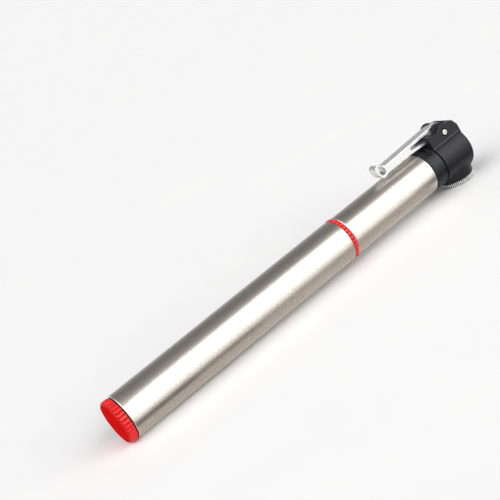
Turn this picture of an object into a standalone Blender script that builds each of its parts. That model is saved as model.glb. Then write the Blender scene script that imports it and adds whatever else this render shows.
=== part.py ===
"""Mini bicycle pump: a sleeve-over-barrel hand pump with a thumb-lock valve chuck.

The pump lies along +X. The origin is the centre of the red end cap's flat outer face, the head is at the far end,
the thumb lever is on the +Z side and the valve chuck opens towards -Z. Metres, +Z up.
"""

import math

import bmesh
import bpy
from mathutils import Vector

MM = 0.001

# ---------------------------------------------------------------- driving dimensions, in millimetres
# handle end (X positions run from the cap's outer face)
CAP_R = 10.75            # rib radius of the fluted end cap
CAP_FACE_R = 9.95        # flat part of its end face
CAP_FLANGE = 3.8         # length of the fluted flange
CAP_SPIGOT_R = 7.9       # threaded spigot, major radius
CAP_SPIGOT_END = 11.6
FLUTES = 32
FLUTE_DEPTH = 0.45
SEAL_X0, SEAL_X1 = 3.95, 4.45
SEAL_R0, SEAL_R1 = 8.3, 10.35
HANDLE_R = 11.0          # outer radius of the 22 mm handle tube
HANDLE_BORE_R = 10.1
HANDLE_X0, HANDLE_X1 = 4.6, 137.8
PLUG_R = 9.95
PLUG_X0, PLUG_WALL0, PLUG_WALL1, PLUG_X1 = 4.7, 14.2, 16.8, 20.0
PLUG_THREAD_R = 8.1
BUMPER_X0, BUMPER_X1 = 20.25, 22.4
# guide ring in the handle's mouth
GUIDE_R = 11.1
GUIDE_X0, GUIDE_LIP0, GUIDE_X1 = 130.0, 137.95, 140.0
GUIDE_BORE_R = 9.35
# barrel
BARREL_R, BARREL_BORE_R = 9.2, 8.2
BARREL_X0, BARREL_X1 = 26.05, 203.6
GLAND_X0, GLAND_FLANGE1, GLAND_X1 = 22.75, 25.8, 32.0
GLAND_FLANGE_R, GLAND_SPIGOT_R = 9.75, 8.05
# rod and piston
ROD_R, ROD_BORE_R = 3.0, 2.1
ROD_X0, ROD_X1 = 17.1, 189.5
PISTON_X0, PISTON_X1 = 183.0, 195.0
PISTON_R = 7.95
GROOVE_X0, GROOVE_X1, GROOVE_R = 185.4, 188.6, 6.2
ORING_MAJOR, ORING_MINOR, ORING_X = 7.2, 0.9, 186.5
# grip sleeve and collar
SLEEVE_R, SLEEVE_BORE_R = 10.7, 9.6
SLEEVE_X0, SLEEVE_X1 = 140.3, 196.5
COLLAR_R, COLLAR_BORE_R = 11.05, 9.45
COLLAR_X0, COLLAR_X1 = 196.65, 203.85
RECESS_X0, RECESS_X1 = 199.6, 201.9
RECESS_R, RECESS_Z = 10.15, 8.1
# head
HEAD_R = 11.5
HEAD_X0, HEAD_X1 = 204.15, 223.2
BLOCK_HALF = 7.2         # the clevis block's half width
LOBE_HALF = 4.6          # half width across the inner ears
SLOT_HALF = 3.05         # half width of the lever's slot
PIN_X, PIN_Z, PIN_R = 214.9, 12.6, 1.45
PIN_HOLE_R = 1.62
VALVE_X = 214.5
BOSS_R, BOSS_Z = 9.2, -12.6
BORE_R, BORE_TOP = 5.1, 9.4
SHOULDER_Z = -1.0
GASKET_BORE_R, GASKET_BORE_Z = 6.65, -8.0
NUT_BORE_R = 7.85
SPIGOT_R, SPIGOT_X0 = 7.95, 197.7
# valve chuck
PLUNGER_TOP = 8.7
NUT_R, NUT_FACE_Z, NUT_HOLE_R = 8.9, -15.2, 4.2
NUT_KNURLS = 26
# thumb lever
LEVER_HALF = 2.7
CAM_R0, CAM_LIFT = 3.4, 2.0

SEG = 40

# ---------------------------------------------------------------- scene and materials
for old in list(bpy.data.objects):
    bpy.data.objects.remove(old, do_unlink=True)


def material(name, rgb, roughness, metallic):
    made = bpy.data.materials.new(name)
    made.use_nodes = True
    shader = made.node_tree.nodes["Principled BSDF"]
    shader.inputs["Base Color"].default_value = (*rgb, 1.0)
    shader.inputs["Roughness"].default_value = roughness
    shader.inputs["Metallic"].default_value = metallic
    made.diffuse_color = (*rgb, 1.0)
    return made


SATIN = material("satin_champagne_aluminium", (0.62, 0.58, 0.52), 0.34, 1.0)
ALU = material("plain_aluminium", (0.75, 0.75, 0.76), 0.28, 1.0)
BRIGHT = material("bright_aluminium", (0.86, 0.86, 0.87), 0.30, 1.0)
STEEL = material("steel", (0.66, 0.65, 0.62), 0.25, 1.0)
BRASS = material("brass", (0.72, 0.53, 0.24), 0.30, 1.0)
BLACK = material("black_nylon", (0.022, 0.022, 0.025), 0.48, 0.0)
RED = material("red_plastic", (0.72, 0.015, 0.018), 0.38, 0.0)
WHITE = material("natural_acetal", (0.82, 0.81, 0.77), 0.42, 0.0)
RUBBER = material("black_rubber", (0.018, 0.018, 0.018), 0.72, 0.0)


# ---------------------------------------------------------------- modelling helpers
def finish(bm, name, mat, angle=35.0):
    bmesh.ops.remove_doubles(bm, verts=bm.verts[:], dist=0.0005 * MM)
    bmesh.ops.recalc_face_normals(bm, faces=bm.faces[:])
    mesh = bpy.data.meshes.new(name)
    bm.to_mesh(mesh)
    bm.free()
    made = bpy.data.objects.new(name, mesh)
    bpy.context.scene.collection.objects.link(made)
    if mat is not None:
        mesh.materials.append(mat)
    mesh.shade_smooth()
    mesh.set_sharp_from_angle(angle=math.radians(angle))
    return made


def turned(name, profile, mat=None, axis="X", at=(0.0, 0.0), seg=SEG):
    """Spins a profile of (position along the axis, radius) pairs. A profile that starts and ends at radius 0 is a
    solid; any other is closed into a ring. at is the axis's (Y, Z) for X, (X, Z) for Y and (X, Y) for Z."""
    bm = bmesh.new()

    def place(a, r):
        if axis == "X":
            return Vector((a, at[0], at[1] + r)) * MM
        if axis == "Y":
            return Vector((at[0], a, at[1] + r)) * MM
        return Vector((at[0] + r, at[1], a)) * MM

    verts = [bm.verts.new(place(a, r)) for a, r in profile]
    for one, two in zip(verts, verts[1:]):
        bm.edges.new((one, two))
    if profile[0][1] > 0 or profile[-1][1] > 0:
        bm.edges.new((verts[-1], verts[0]))
    centre = {"X": (0, at[0], at[1]), "Y": (at[0], 0, at[1]), "Z": (at[0], at[1], 0)}[axis]
    way = {"X": (1, 0, 0), "Y": (0, 1, 0), "Z": (0, 0, 1)}[axis]
    bmesh.ops.spin(bm, geom=bm.verts[:] + bm.edges[:], cent=Vector(centre) * MM, axis=Vector(way),
                   angle=2 * math.pi, steps=seg, use_merge=True, use_duplicate=False)
    return finish(bm, name, mat)


def extruded(name, outline, y0, y1, mat=None):
    """Extrudes an outline of (X, Z) points along Y."""
    bm = bmesh.new()
    face = bm.faces.new([bm.verts.new(Vector((x, y0, z)) * MM) for x, z in outline])
    grown = bmesh.ops.extrude_face_region(bm, geom=[face])
    bmesh.ops.translate(bm, verts=[g for g in grown["geom"] if isinstance(g, bmesh.types.BMVert)],
                        vec=Vector((0, y1 - y0, 0)) * MM)
    return finish(bm, name, mat)


def block(name, low, high):
    bm = bmesh.new()
    bmesh.ops.create_cube(bm, size=1.0)
    size, middle = Vector(high) - Vector(low), (Vector(high) + Vector(low)) / 2
    bmesh.ops.scale(bm, vec=size * MM, verts=bm.verts[:])
    bmesh.ops.translate(bm, vec=middle * MM, verts=bm.verts[:])
    return finish(bm, name, None)


def combine(base, other, operation):
    mod = base.modifiers.new(f"{operation.lower()}_{other.name}", "BOOLEAN")
    mod.operation = operation
    mod.solver = "EXACT"
    mod.object = other
    other.hide_render = True
    other.display_type = "WIRE"


def flute(obj, count, depth, rib_r):
    """Sinks every other line of points round a turned piece into a groove, wherever its surface stands near the rib
    radius. The piece has two points per flute and its axis is X."""
    for vert in obj.data.vertices:
        y, z = vert.co.y / MM, vert.co.z / MM
        r = math.hypot(y, z)
        if r > rib_r - 0.6 and round(math.atan2(y, z) / (2 * math.pi) * count * 2) % 2:
            vert.co.y *= (r - depth) / r
            vert.co.z *= (r - depth) / r


def arc(cx, cz, r, start, end, steps):
    return [(cx + r * math.cos(math.radians(start + (end - start) * i / steps)),
             cz + r * math.sin(math.radians(start + (end - start) * i / steps))) for i in range(steps + 1)]


# ---------------------------------------------------------------- handle end
end_cap = turned("end_cap", [(0.0, 0.0), (0.0, CAP_FACE_R), (0.75, CAP_R), (CAP_FLANGE, CAP_R), (CAP_FLANGE, CAP_SPIGOT_R),
                             (CAP_SPIGOT_END, CAP_SPIGOT_R), (CAP_SPIGOT_END, 6.3), (5.0, 6.3), (5.0, 0.0)], RED, seg=FLUTES * 2)
flute(end_cap, FLUTES, FLUTE_DEPTH, CAP_R)

turned("cap_seal", [(SEAL_X0, SEAL_R0), (SEAL_X0, SEAL_R1), (SEAL_X1, SEAL_R1), (SEAL_X1, SEAL_R0)], RUBBER, seg=32)

turned("handle_tube", [(HANDLE_X0, HANDLE_BORE_R), (HANDLE_X0, HANDLE_R - 0.25), (HANDLE_X0 + 0.25, HANDLE_R),
                       (HANDLE_X1 - 0.25, HANDLE_R), (HANDLE_X1, HANDLE_R - 0.25), (HANDLE_X1, HANDLE_BORE_R)], SATIN)

turned("handle_plug", [(PLUG_X0, PLUG_THREAD_R), (PLUG_X0, PLUG_R), (PLUG_X1, PLUG_R), (PLUG_X1, ROD_R + 0.15), (PLUG_WALL1, ROD_R + 0.15),
                       (PLUG_WALL1, 2.1), (PLUG_WALL0, 2.1), (PLUG_WALL0, PLUG_THREAD_R)], BLACK, seg=32)

turned("rod_anchor_screw", [(11.9, 0.0), (11.9, 3.1), (14.05, 3.1), (14.05, 1.85), (26.0, 1.85), (26.0, 0.0)],
       STEEL, seg=16)

turned("end_bumper", [(BUMPER_X0, ROD_R + 0.3), (BUMPER_X0, 9.0), (BUMPER_X1, 9.0), (BUMPER_X1, ROD_R + 0.3)], RUBBER, seg=24)

guide_ring = turned("guide_ring", [(GUIDE_X0, GUIDE_BORE_R), (GUIDE_X0, 9.95), (GUIDE_LIP0, 9.95), (GUIDE_LIP0, GUIDE_R),
                                   (GUIDE_X1, GUIDE_R), (GUIDE_X1, GUIDE_BORE_R)], RED, seg=FLUTES * 2)
flute(guide_ring, FLUTES, FLUTE_DEPTH, GUIDE_R)

# ---------------------------------------------------------------- rod and piston
turned("piston_rod", [(ROD_X0, ROD_BORE_R), (ROD_X0, ROD_R), (ROD_X1, ROD_R), (ROD_X1, ROD_BORE_R)], STEEL, seg=20)

turned("piston", [(PISTON_X0, ROD_R + 0.15), (PISTON_X0, PISTON_R), (GROOVE_X0, PISTON_R), (GROOVE_X0, GROOVE_R), (GROOVE_X1, GROOVE_R),
                  (GROOVE_X1, PISTON_R), (PISTON_X1, PISTON_R), (PISTON_X1, 3.3), (191.9, 3.3), (191.9, 1.75), (189.75, 1.75),
                  (189.75, ROD_R + 0.15)], WHITE, seg=24)

turned("piston_screw", [(180.0, 0.0), (180.0, 1.5), (192.1, 1.5), (192.1, 2.95), (194.2, 2.95), (194.2, 0.0)],
       STEEL, seg=16)


def o_ring(name, axis, position, major, minor, at=(0.0, 0.0), seg=24, sides=6):
    ring = [(position + minor * math.cos(2 * math.pi * i / sides), major + minor * math.sin(2 * math.pi * i / sides))
            for i in range(sides)]
    return turned(name, ring, RUBBER, axis=axis, at=at, seg=seg)


o_ring("piston_o_ring", "X", ORING_X, ORING_MAJOR, ORING_MINOR)

# ---------------------------------------------------------------- barrel
turned("barrel_tube", [(BARREL_X0, BARREL_BORE_R), (BARREL_X0, BARREL_R), (BARREL_X1, BARREL_R), (BARREL_X1, BARREL_BORE_R)], ALU, seg=32)

turned("barrel_gland", [(GLAND_X0, ROD_R + 0.2), (GLAND_X0, GLAND_FLANGE_R), (GLAND_FLANGE1, GLAND_FLANGE_R), (GLAND_FLANGE1, GLAND_SPIGOT_R), (GLAND_X1, GLAND_SPIGOT_R),
                        (GLAND_X1, 6.2), (28.0, 6.2), (28.0, ROD_R + 0.2)], BLACK, seg=24)

turned("grip_sleeve", [(SLEEVE_X0, SLEEVE_BORE_R), (SLEEVE_X0, SLEEVE_R - 0.25), (SLEEVE_X0 + 0.25, SLEEVE_R),
                       (SLEEVE_X1 - 0.25, SLEEVE_R), (SLEEVE_X1, SLEEVE_R - 0.25), (SLEEVE_X1, SLEEVE_BORE_R)], SATIN)

# collar, with a shallow recess under the folded lever
head_collar = turned("head_collar", [(COLLAR_X0, COLLAR_BORE_R), (COLLAR_X0, COLLAR_R - 0.25), (COLLAR_X0 + 0.25, COLLAR_R),
                                     (COLLAR_X1 - 0.35, COLLAR_R), (COLLAR_X1, COLLAR_R - 0.35), (COLLAR_X1, COLLAR_BORE_R)], BLACK)
recess = turned("collar_recess_cutter", [(RECESS_X0, RECESS_R), (RECESS_X0, 12.5), (RECESS_X1, 12.5), (RECESS_X1, RECESS_R)])
combine(recess, block("collar_recess_limit", (190.0, -20.0, -20.0), (210.0, 20.0, RECESS_Z)), "DIFFERENCE")
combine(head_collar, recess, "DIFFERENCE")

# ---------------------------------------------------------------- head
head = turned("head_body", [(HEAD_X0, 0.0), (HEAD_X0, HEAD_R - 0.35), (HEAD_X0 + 0.35, HEAD_R), (HEAD_X1 - 0.9, HEAD_R),
                            (HEAD_X1 - 0.25, HEAD_R - 0.3), (HEAD_X1, HEAD_R - 1.0), (HEAD_X1, 0.0)], BLACK)
cheek = ([(HEAD_X0, 3.0), (HEAD_X0, 15.7), (HEAD_X0 + 0.3, 15.9), (209.0, 15.0)] + arc(PIN_X, PIN_Z, 5.25, 150, 62, 8)
         + [(221.7, 14.9), (222.1, 14.6), (223.7, 12.2), (223.85, 11.6), (223.85, 3.0)])
combine(head, extruded("cheek_shape", cheek, -BLOCK_HALF, BLOCK_HALF), "UNION")
lobe = [(209.6, 11.0)] + arc(PIN_X, PIN_Z, 5.8, 172, 70, 9) + [(218.0, 11.0)]
combine(head, extruded("ear_shape", lobe, -LOBE_HALF, LOBE_HALF), "UNION")
combine(head, turned("boss_shape", [(3.0, 0.0), (3.0, BOSS_R), (BOSS_Z + 0.4, BOSS_R), (BOSS_Z, BOSS_R - 0.4), (BOSS_Z, 0.0)],
                     axis="Z", at=(VALVE_X, 0.0)), "UNION")
combine(head, turned("spigot_shape", [(SPIGOT_X0, 0.0), (SPIGOT_X0, SPIGOT_R - 0.3), (SPIGOT_X0 + 0.3, SPIGOT_R), (200.2, SPIGOT_R),
                                      (200.2, 6.75), (202.4, 6.75), (202.4, SPIGOT_R), (206.0, SPIGOT_R), (206.0, 0.0)], seg=28), "UNION")
# slot for the lever, shallower where its arms lie and deeper round the cam
combine(head, extruded("slot_cutter", [(202.0, 10.4), (209.2, 10.4), (209.2, 6.7), (221.2, 6.7), (221.2, 30.0), (202.0, 30.0)],
                       -SLOT_HALF, SLOT_HALF), "DIFFERENCE")
# stepped bore of the valve chuck
combine(head, turned("bore_cutter", [(BORE_TOP, 0.0), (BORE_TOP, BORE_R), (SHOULDER_Z, BORE_R), (SHOULDER_Z, GASKET_BORE_R),
                                     (GASKET_BORE_Z, GASKET_BORE_R), (GASKET_BORE_Z, NUT_BORE_R), (-20.0, NUT_BORE_R), (-20.0, 0.0)],
                     axis="Z", at=(VALVE_X, 0.0), seg=28), "DIFFERENCE")
# air way: seat pocket, ball chamber, and the drilling into the chuck
combine(head, turned("air_cutter", [(190.0, 0.0), (190.0, 4.3), (200.3, 4.3), (200.3, 2.6), (207.4, 2.6), (207.4, 0.0)], seg=20), "DIFFERENCE")
combine(head, turned("drilling_cutter", [(205.9, 0.0), (205.9, 0.9), (211.0, 0.9), (211.0, 0.0)], at=(0.0, 1.2), seg=8), "DIFFERENCE")
combine(head, turned("pin_hole_cutter", [(-12.0, 0.0), (-12.0, PIN_HOLE_R), (12.0, PIN_HOLE_R), (12.0, 0.0)], axis="Y",
                     at=(PIN_X, PIN_Z), seg=20), "DIFFERENCE")

o_ring("barrel_o_ring", "X", 201.3, 7.47, 0.68)

# ---------------------------------------------------------------- check valve
turned("check_seat", [(197.9, 1.1), (197.9, 4.05), (200.0, 4.05), (200.0, 1.5), (199.6, 1.1)], BRASS, seg=16)
ball_x, ball_r = 201.75, 1.8
turned("check_ball", [(ball_x + ball_r * math.cos(math.radians(180 - 30 * i)), ball_r * math.sin(math.radians(180 - 30 * i)) if 0 < i < 6 else 0.0)
                      for i in range(7)], STEEL, seg=12)
coil = bpy.data.curves.new("check_spring", "CURVE")
coil.dimensions = "3D"
COIL_TURNS, COIL_X0, COIL_X1, COIL_R, WIRE_R = 3, 203.9, 206.3, 1.5, 0.17
line = coil.splines.new("POLY")
points = COIL_TURNS * 10 + 1
line.points.add(points - 1)
for i in range(points):
    turn = 2 * math.pi * i / 10
    line.points[i].co = ((COIL_X0 + (COIL_X1 - COIL_X0) * i / (points - 1)) * MM, COIL_R * math.cos(turn) * MM,
                         COIL_R * math.sin(turn) * MM, 1.0)
coil.bevel_depth = WIRE_R * MM
coil.bevel_resolution = 1
coil.use_fill_caps = True
spring = bpy.data.objects.new("check_spring", coil)
spring.data.materials.append(STEEL)
bpy.context.scene.collection.objects.link(spring)

# ---------------------------------------------------------------- valve chuck
plunger = turned("clamp_plunger", [(PLUNGER_TOP, 0.0), (PLUNGER_TOP, 4.9), (6.4, 4.9), (6.4, 3.55), (4.5, 3.55), (4.5, 4.9), (3.2, 4.9),
                                   (3.2, 3.1), (-1.3, 3.1), (-1.3, 6.3), (-3.0, 6.3), (-3.0, 2.3), (1.9, 2.3), (1.9, 0.0)],
                 WHITE, axis="Z", at=(VALVE_X, 0.0), seg=28)
combine(plunger, turned("plunger_port_cutter", [(206.0, 0.0), (206.0, 0.8), (222.0, 0.8), (222.0, 0.0)], at=(0.0, 0.7), seg=8), "DIFFERENCE")
o_ring("plunger_o_ring", "Z", 5.45, 4.25, 0.68, at=(VALVE_X, 0.0), seg=20)

depressor = turned("valve_depressor", [(-6.2, 0.0), (-6.2, 0.55), (-5.8, 0.9), (-0.6, 0.9), (-0.6, 0.0)], BRASS, axis="Z",
                   at=(VALVE_X, 0.0), seg=12)
combine(depressor, block("depressor_blade_shape", (VALVE_X - 0.7, -2.0, -0.9), (VALVE_X + 0.7, 2.0, 1.2)), "UNION")

turned("valve_gasket", [(-3.3, 3.8), (-3.3, 6.4), (-10.6, 6.4), (-10.6, 4.2), (-10.2, 3.8)], RUBBER, axis="Z",
       at=(VALVE_X, 0.0), seg=28)

nut = turned("valve_nut", [(-8.6, 6.7), (-8.6, 7.5), (-12.9, 7.5), (-12.9, NUT_R), (NUT_FACE_Z + 0.3, NUT_R), (NUT_FACE_Z, NUT_R - 0.4),
                           (NUT_FACE_Z, NUT_HOLE_R + 0.5), (NUT_FACE_Z + 0.5, NUT_HOLE_R), (-10.9, NUT_HOLE_R), (-10.9, 6.7)], BRIGHT,
             axis="Z", at=(VALVE_X, 0.0), seg=NUT_KNURLS * 2)
for vert in nut.data.vertices:                     # straight knurling: every other line of points is sunk
    dx, y = vert.co.x / MM - VALVE_X, vert.co.y / MM
    r = math.hypot(dx, y)
    if r > NUT_R - 0.1 and round(math.atan2(y, dx) / (2 * math.pi) * NUT_KNURLS * 2) % 2:
        vert.co.x = (VALVE_X + dx * (r - 0.32) / r) * MM
        vert.co.y = y * (r - 0.32) / r * MM

# ---------------------------------------------------------------- thumb lever and its pin
def cam_r(angle):
    """Radius of the lever's cam at an angle from +X towards +Z, in degrees: a spiral from CAM_R0 at the underside
    to CAM_R0 + CAM_LIFT at the +X side, so that the lift is in step with the lever's turn."""
    if angle >= 270:
        return CAM_R0 + CAM_LIFT * (angle - 270) / 90
    return min(4.9, CAM_R0 / max(0.3, -math.sin(math.radians(angle))))


outline = [(PIN_X + cam_r(a) * math.cos(math.radians(a)), PIN_Z + cam_r(a) * math.sin(math.radians(a))) for a in range(196, 361, 8)]
outline += [(PIN_X + (5.4 + 0.05 * i / 9) * math.cos(math.radians(10 * i)), PIN_Z + (5.4 + 0.05 * i / 9) * math.sin(math.radians(10 * i)))
            for i in range(0, 10)]
outline += [(211.2, 17.97), (178.75, 16.75)]       # the arm's straight upper edge
# drop-shaped thumb loop, from the arm's upper edge round to its lower one
outline += [(177.7, 17.0), (175.9, 17.95), (174.4, 18.85), (173.3, 19.1), (172.3, 18.8), (171.65, 17.9), (171.5, 16.7), (171.9, 15.0), (172.8, 13.3),
            (174.0, 12.1), (175.3, 11.7), (176.6, 12.1), (177.9, 12.65), (193.8, 12.7), (204.5, 12.05)]
lever = extruded("thumb_lever", outline, -LEVER_HALF, LEVER_HALF, BRIGHT)
slot = arc(196.0, 14.95, 0.85, 90, 265, 6) + [(200.4, 13.75), (205.0, 12.95), (208.4, 12.65), (209.3, 13.1), (210.2, 15.1), (210.2, 15.7), (209.8, 16.0)]
# the open slot that splits the lever's arm in two, the thumb loop's eye and the pin's hole
combine(lever, extruded("lever_slot_cutter", slot, -6.0, 6.0), "DIFFERENCE")
combine(lever, extruded("lever_eye_cutter", [(173.2, 18.05), (174.3, 17.95), (175.7, 16.85), (176.7, 15.3), (176.65, 14.1), (175.9, 13.45), (174.9, 13.35),
                                             (174.1, 14.1), (173.2, 15.8), (172.95, 17.3)], -6.0, 6.0), "DIFFERENCE")
combine(lever, turned("lever_hole_cutter", [(-6.0, 0.0), (-6.0, PIN_HOLE_R), (6.0, PIN_HOLE_R), (6.0, 0.0)], axis="Y",
                      at=(PIN_X, PIN_Z), seg=20), "DIFFERENCE")

turned("lever_pin", [(-7.45, 0.0), (-7.45, 1.1), (-7.2, PIN_R), (7.2, PIN_R), (7.45, 1.1), (7.45, 0.0)], STEEL, axis="Y", at=(PIN_X, PIN_Z), seg=20)
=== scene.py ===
"""Looks of the mini pump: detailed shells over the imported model, their finishes, the stage, the light and the camera.

Lengths in the code are millimetres in the model's own frame, and points are turned into metres where a mesh is made.
"""

import math

import bpy
import numpy as np
from mathutils import Matrix, Vector


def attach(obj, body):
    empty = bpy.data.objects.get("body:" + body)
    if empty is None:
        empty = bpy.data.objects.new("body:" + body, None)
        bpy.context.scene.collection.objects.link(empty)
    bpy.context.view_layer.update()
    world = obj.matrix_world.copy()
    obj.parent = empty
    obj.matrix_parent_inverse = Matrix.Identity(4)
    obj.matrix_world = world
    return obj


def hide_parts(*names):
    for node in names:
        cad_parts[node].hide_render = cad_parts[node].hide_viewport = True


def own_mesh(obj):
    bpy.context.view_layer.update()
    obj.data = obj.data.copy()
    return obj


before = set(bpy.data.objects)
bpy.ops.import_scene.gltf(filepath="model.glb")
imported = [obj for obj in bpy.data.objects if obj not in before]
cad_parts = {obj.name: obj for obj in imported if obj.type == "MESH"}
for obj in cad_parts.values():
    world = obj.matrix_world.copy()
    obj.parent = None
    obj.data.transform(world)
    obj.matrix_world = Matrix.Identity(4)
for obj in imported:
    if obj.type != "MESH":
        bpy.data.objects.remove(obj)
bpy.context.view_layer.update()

MM = 0.001
TAU = 2 * math.pi

# ---------------------------------------------------------------- the model's dimensions, in millimetres
CAP_R, CAP_FLANGE, CAP_SPIGOT_R, CAP_SPIGOT_END = 10.75, 3.8, 7.9, 11.6
FLUTES = 32
SEAL = (3.95, 4.45, 8.3, 10.35)
HANDLE = (4.6, 137.8, 11.0, 10.1)
GUIDE = (130.0, 137.95, 140.0, 11.1, 9.95, 9.35)
SLEEVE = (140.3, 196.5, 10.7, 9.6)
COLLAR = (196.65, 203.85, 11.05, 9.45)
RECESS = (199.6, 201.9, 10.15, 8.1)
BARREL = (26.05, 203.6, 9.2, 8.2)
HEAD_X0, HEAD_X1, HEAD_R = 204.15, 223.2, 11.5
BLOCK_HALF, LOBE_HALF, SLOT_HALF = 7.2, 4.65, 3.05
PIN_X, PIN_Z, PIN_R, PIN_HOLE_R = 214.9, 12.6, 1.45, 1.62
VALVE_X, BOSS_R, BOSS_Z = 214.5, 9.2, -12.6
BORE_R, BORE_TOP, SHOULDER_Z, GASKET_BORE_R, GASKET_BORE_Z, NUT_BORE_R = 5.1, 9.4, -1.0, 6.65, -8.0, 7.85
SPIGOT_R, SPIGOT_X0 = 7.95, 197.7
NUT_R, NUT_FACE_Z, NUT_HOLE_R = 8.9, -15.2, 4.2
KNURLS = 56
LEVER_HALF, CAM_R0, CAM_LIFT = 2.7, 3.4, 2.0


# ---------------------------------------------------------------- mesh building
def to_object(name, verts, faces, materials, face_material=None, sharp=35.0):
    """An object from points in millimetres and quads or triangles, its faces turned outwards."""
    verts = np.asarray(verts, float)
    flip = volume(verts, faces) < 0
    mesh = bpy.data.meshes.new(name)
    mesh.from_pydata((verts * MM).tolist(), [], [tuple(reversed(f)) if flip else tuple(f) for f in faces])
    mesh.validate()
    for m in materials:
        mesh.materials.append(m)
    if face_material is not None:
        mesh.polygons.foreach_set("material_index", np.asarray(face_material, np.int32))
    mesh.shade_smooth()
    mesh.set_sharp_from_angle(angle=math.radians(sharp))
    made = bpy.data.objects.new(name, mesh)
    bpy.context.scene.collection.objects.link(made)
    return made


def volume(verts, faces):
    total = 0.0
    by_size = {}
    for f in faces:
        by_size.setdefault(len(f), []).append(f)
    for size, group in by_size.items():
        g = np.asarray(group)
        for i in range(1, size - 1):
            total += np.einsum("ij,ij->i", verts[g[:, 0]], np.cross(verts[g[:, i]], verts[g[:, i + 1]])).sum()
    return total / 6


def rounded(points, closed, steps=4):
    """A profile of (position, radius[, fillet]) points with its corners rounded to their fillets."""
    out = []
    count = len(points)
    for i, p in enumerate(points):
        here = np.array(p[:2], float)
        fillet = p[2] if len(p) > 2 else 0.0
        if fillet <= 0 or (not closed and i in (0, count - 1)):
            out.append(here)
            continue
        before = np.array(points[i - 1][:2], float) - here
        after = np.array(points[(i + 1) % count][:2], float) - here
        lb, la = np.linalg.norm(before), np.linalg.norm(after)
        before, after = before / lb, after / la
        half = math.acos(max(-1.0, min(1.0, float(before @ after)))) / 2
        reach = min(fillet / math.tan(half), lb * 0.49, la * 0.49)
        radius = reach * math.tan(half)
        centre = here + (before + after) / np.linalg.norm(before + after) * radius / math.sin(half)
        start, end = here + before * reach - centre, here + after * reach - centre
        sweep = math.atan2(start[0] * end[1] - start[1] * end[0], float(start @ end))
        for s in range(steps + 1):
            c, q = math.cos(sweep * s / steps), math.sin(sweep * s / steps)
            out.append(centre + np.array([start[0] * c - start[1] * q, start[0] * q + start[1] * c]))
    return np.array(out)


def divided(profile, closed, step):
    """The profile with its long runs split into pieces no longer than step."""
    out = []
    count = len(profile)
    for i in range(count if closed else count - 1):
        a, b = profile[i], profile[(i + 1) % count]
        parts = max(1, math.ceil(np.linalg.norm(b - a) / step))
        out += [a + (b - a) * k / parts for k in range(parts)]
    if not closed:
        out.append(profile[-1])
    return np.array(out)


def revolved(name, points, materials, axis="X", at=(0.0, 0.0), segs=128, change=None, step=None, steps=4, choose=None, sharp=35.0):
    """Turns a profile round an axis. change(position, radius, angle) returns the new radius, for flutes, knurls and
    threads; choose(position, radius) returns a material index. at is the axis's (Y, Z), (X, Z) or (X, Y)."""
    closed = points[0][1] > 0 or points[-1][1] > 0
    profile = rounded(points, closed, steps)
    if step:
        profile = divided(profile, closed, step)
    a, r = profile[:, 0], profile[:, 1]
    theta = TAU * np.arange(segs) / segs
    A = np.repeat(a[:, None], segs, 1)
    R = np.repeat(r[:, None], segs, 1)
    T = np.repeat(theta[None, :], len(a), 0)
    if change is not None:
        R = change(A, R, T)
    if axis == "X":
        P = np.stack([A, at[0] + R * np.cos(T), at[1] + R * np.sin(T)], -1)
        ends = [(a[0], at[0], at[1]), (a[-1], at[0], at[1])]
    elif axis == "Y":
        P = np.stack([at[0] + R * np.sin(T), A, at[1] + R * np.cos(T)], -1)
        ends = [(at[0], a[0], at[1]), (at[0], a[-1], at[1])]
    else:
        P = np.stack([at[0] + R * np.cos(T), at[1] + R * np.sin(T), A], -1)
        ends = [(at[0], at[1], a[0]), (at[0], at[1], a[-1])]
    rows = list(range(len(a))) if closed else list(range(1, len(a) - 1))
    verts = P[rows].reshape(-1, 3)
    n = len(rows)
    faces, mats = [], []
    nxt = np.roll(np.arange(segs), -1)
    for i in range(n if closed else n - 1):
        j = (i + 1) % n
        m = choose((a[rows[i]] + a[rows[j]]) / 2, (r[rows[i]] + r[rows[j]]) / 2) if choose else 0
        base, other = i * segs, j * segs
        faces += np.stack([base + np.arange(segs), base + nxt, other + nxt, other + np.arange(segs)], 1).tolist()
        mats += [m] * segs
    if not closed:
        first, last = len(verts), len(verts) + 1
        verts = np.vstack([verts, ends])
        m0 = choose((a[0] + a[1]) / 2, r[1] / 2) if choose else 0
        m1 = choose((a[-1] + a[-2]) / 2, r[-2] / 2) if choose else 0
        last_row = (n - 1) * segs
        for k in range(segs):
            faces.append([first, int(nxt[k]), k])
            mats.append(m0)
        for k in range(segs):
            faces.append([last, last_row + k, last_row + int(nxt[k])])
            mats.append(m1)
    return to_object(name, verts, faces, materials, mats if choose else None, sharp)


# ---------------------------------------------------------------- distance fields, for the moulded and cast pieces
def meet(a, b, k):
    """Intersection whose edge is rounded to radius k."""
    return np.minimum(-k, np.maximum(a, b)) + np.hypot(np.maximum(k + a, 0), np.maximum(k + b, 0))


def join(a, b, k):
    """Union whose inner corner is filled to radius k."""
    return np.maximum(k, np.minimum(a, b)) - np.hypot(np.maximum(k - a, 0), np.maximum(k - b, 0))


def polygon(points, x, z):
    """Signed distance to a polygon in the XZ plane."""
    points = np.asarray(points, float)
    x, z = np.broadcast_arrays(x, z)
    best = np.full(x.shape, 1e12)
    inside = np.zeros(x.shape, bool)
    count = len(points)
    for i in range(count):
        ax, az = points[i]
        bx, bz = points[i - 1]
        ex, ez = bx - ax, bz - az
        wx, wz = x - ax, z - az
        t = np.clip((wx * ex + wz * ez) / max(ex * ex + ez * ez, 1e-12), 0, 1)
        best = np.minimum(best, (wx - ex * t) ** 2 + (wz - ez * t) ** 2)
        crossing = (z >= az) & (z < bz) & (ex * wz > ez * wx) | (z < az) & (z >= bz) & (ex * wz < ez * wx)
        inside ^= crossing
    return np.where(inside, -1.0, 1.0) * np.sqrt(best)


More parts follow.
